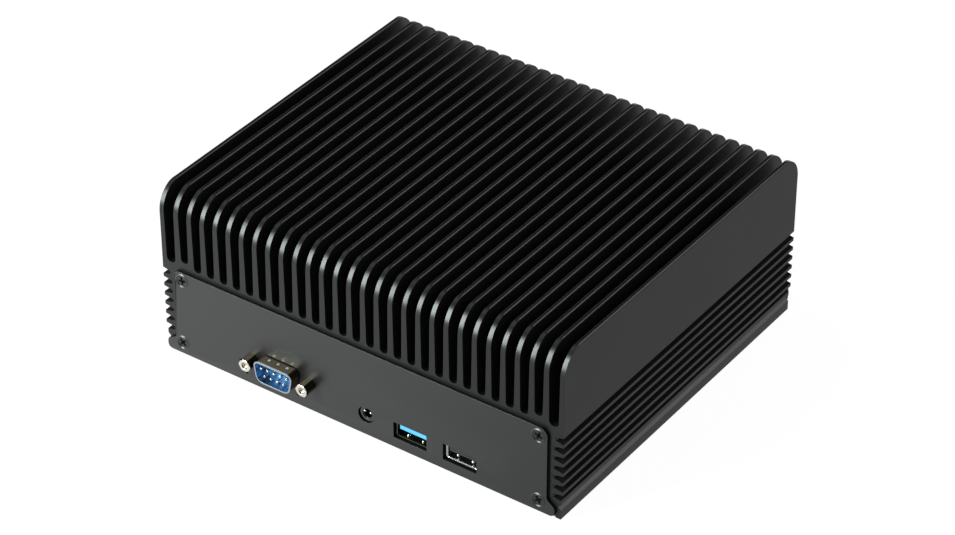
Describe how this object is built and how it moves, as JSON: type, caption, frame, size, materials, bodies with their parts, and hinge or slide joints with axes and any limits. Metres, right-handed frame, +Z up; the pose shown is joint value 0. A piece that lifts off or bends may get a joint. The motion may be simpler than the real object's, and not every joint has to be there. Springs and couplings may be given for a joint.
{
  "type": "fanless industrial computer",
  "caption": "Fanless industrial computer: finned black aluminium housing with grooved sides, flat end panels with screws, and serial, sound, USB, network, video and power sockets.",
  "frame": {"origin": "middle of the bounding box, on the plane that the rubber feet stand on", "axes": "+X to the right along the front panel, +Y from the front panel to the rear panel, +Z up through the fins"},
  "size_m": [0.17, 0.1564, 0.0704],
  "materials": {
    "housing_black": "satin black anodised",
    "panel_black": "satin black anodised",
    "base_black": "satin black",
    "screw_black": "black zinc",
    "steel": "plain",
    "nickel": "bright nickel",
    "gold": "bright",
    "foot_rubber": "matt",
    "board_green": "satin",
    "blue_plastic": "satin",
    "black_plastic": "satin",
    "chip_black": "matt",
    "bare_aluminium": "machined",
    "pad_grey": "matt"
  },
  "bodies": {
    "root": {"finned_housing": "housing_black", "front_panel": "panel_black", "rear_panel": "panel_black", "base_plate": "base_black", "mount_nuts": "steel", "front_panel_screws": "screw_black", "rear_panel_screws": "screw_black", "base_plate_screws": "screw_black", "rubber_feet": "foot_rubber", "mainboard": "board_green", "board_standoffs": "steel", "board_screws": "steel", "serial_shell": "nickel", "serial_insulator": "blue_plastic", "serial_carrier": "black_plastic", "serial_pins": "gold", "serial_jackscrews": "nickel", "sound_jack_body": "black_plastic", "sound_jack_sleeve": "nickel", "usb_fast_shell": "steel", "usb_fast_tongue": "blue_plastic", "usb_fast_contacts": "gold", "usb_plain_shell": "steel", "usb_plain_tongue": "black_plastic", "usb_plain_contacts": "gold", "usb_stack_shell": "steel", "usb_stack_tongues": "blue_plastic", "usb_stack_contacts": "gold", "power_jack_body": "black_plastic", "power_jack_pin": "nickel", "lan_shells": "steel", "lan_inserts": "black_plastic", "lan_contacts": "gold", "video_shell": "steel", "video_tongue": "black_plastic", "processor": "chip_black", "heat_block": "bare_aluminium", "thermal_pads": "pad_grey", "memory_socket": "black_plastic", "memory_module": "board_green", "memory_chips": "chip_black", "storage_socket": "black_plastic", "storage_module": "board_green", "storage_clip": "black_plastic", "storage_chips": "chip_black", "coin_cell_holder": "black_plastic", "coin_cell": "steel", "chokes": "chip_black"}
  },
  "joints": []
}
